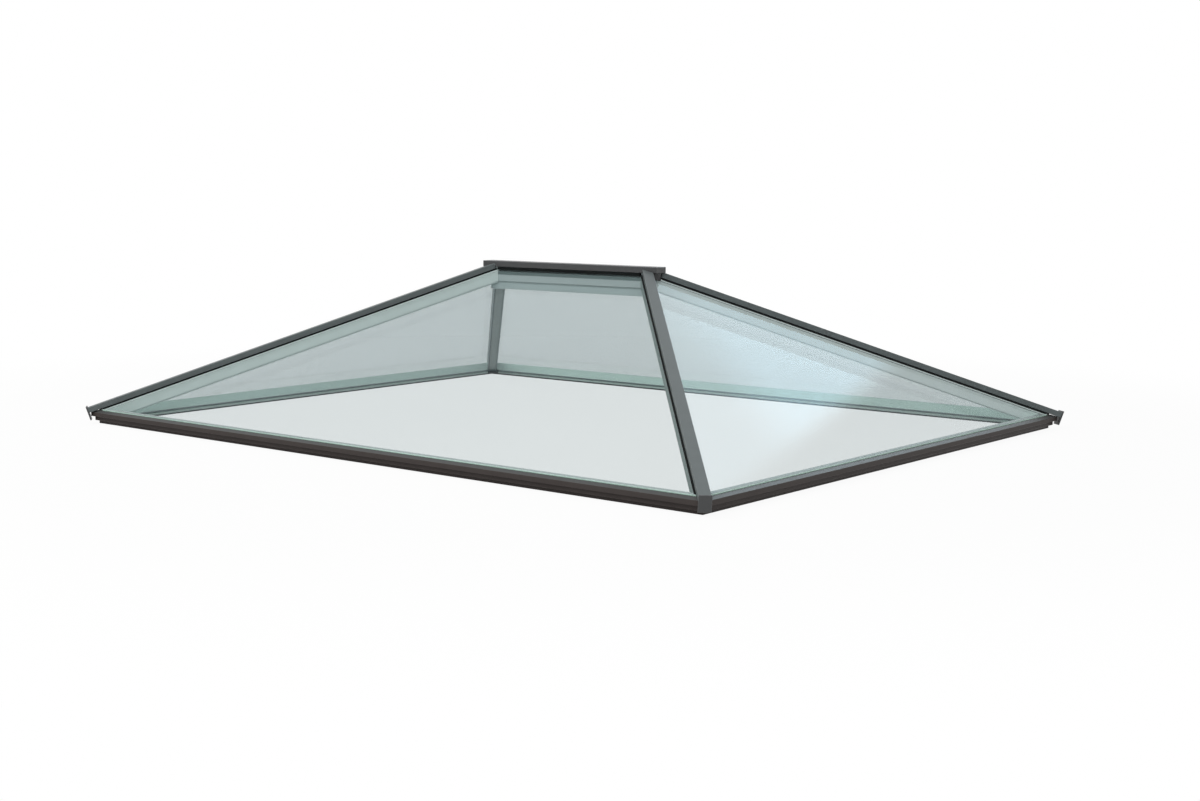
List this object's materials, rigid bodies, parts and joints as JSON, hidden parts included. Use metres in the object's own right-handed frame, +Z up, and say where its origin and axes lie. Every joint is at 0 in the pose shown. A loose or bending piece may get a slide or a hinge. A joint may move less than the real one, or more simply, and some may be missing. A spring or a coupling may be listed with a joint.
{
  "type": "roof lantern",
  "caption": "Hipped glass roof lantern: slim anthracite grey aluminium eaves, hips and ridge carry sloping sealed glass units over an open base that sits on a roof kerb.",
  "frame": {"origin": "on the ground plane under the middle of the eaves frame", "axes": "+X along the ridge and the long eaves, +Y from the front eaves to the back eaves, +Z up"},
  "size_m": [1.7816, 1.5352, 0.387],
  "materials": {
    "frame": "anthracite grey powder coat",
    "boss": "black moulded plastic",
    "gasket": "black glazing rubber",
    "spacer": "satin spacer bar of the sealed unit",
    "glass": "clear toughened float glass, faint blue green tint"
  },
  "bodies": {
    "root": {"corner_cleat_back_left": "frame", "corner_cleat_back_right": "frame", "corner_cleat_front_left": "frame", "corner_cleat_front_right": "frame", "corner_plate_back_left": "frame", "corner_plate_back_right": "frame", "corner_plate_front_left": "frame", "corner_plate_front_right": "frame", "eaves_beam_back": "frame", "eaves_beam_front": "frame", "eaves_beam_left": "frame", "eaves_beam_right": "frame", "hip_bar_back_left": "frame", "hip_bar_back_right": "frame", "hip_bar_front_left": "frame", "hip_bar_front_right": "frame", "hip_cap_back_left": "frame", "hip_cap_back_right": "frame", "hip_cap_front_left": "frame", "hip_cap_front_right": "frame", "hip_gasket_back_left": "gasket", "hip_gasket_back_right": "gasket", "hip_gasket_front_left": "gasket", "hip_gasket_front_right": "gasket", "inner_pane_back": "glass", "inner_pane_front": "glass", "inner_pane_left": "glass", "inner_pane_right": "glass", "outer_pane_back": "glass", "outer_pane_front": "glass", "outer_pane_left": "glass", "outer_pane_right": "glass", "ridge_bar": "frame", "ridge_boss_left": "boss", "ridge_boss_right": "boss", "ridge_cap": "frame", "ridge_end_left": "frame", "ridge_end_right": "frame", "ridge_gaskets": "gasket", "spacer_back": "spacer", "spacer_front": "spacer", "spacer_left": "spacer", "spacer_right": "spacer"}
  },
  "joints": []
}
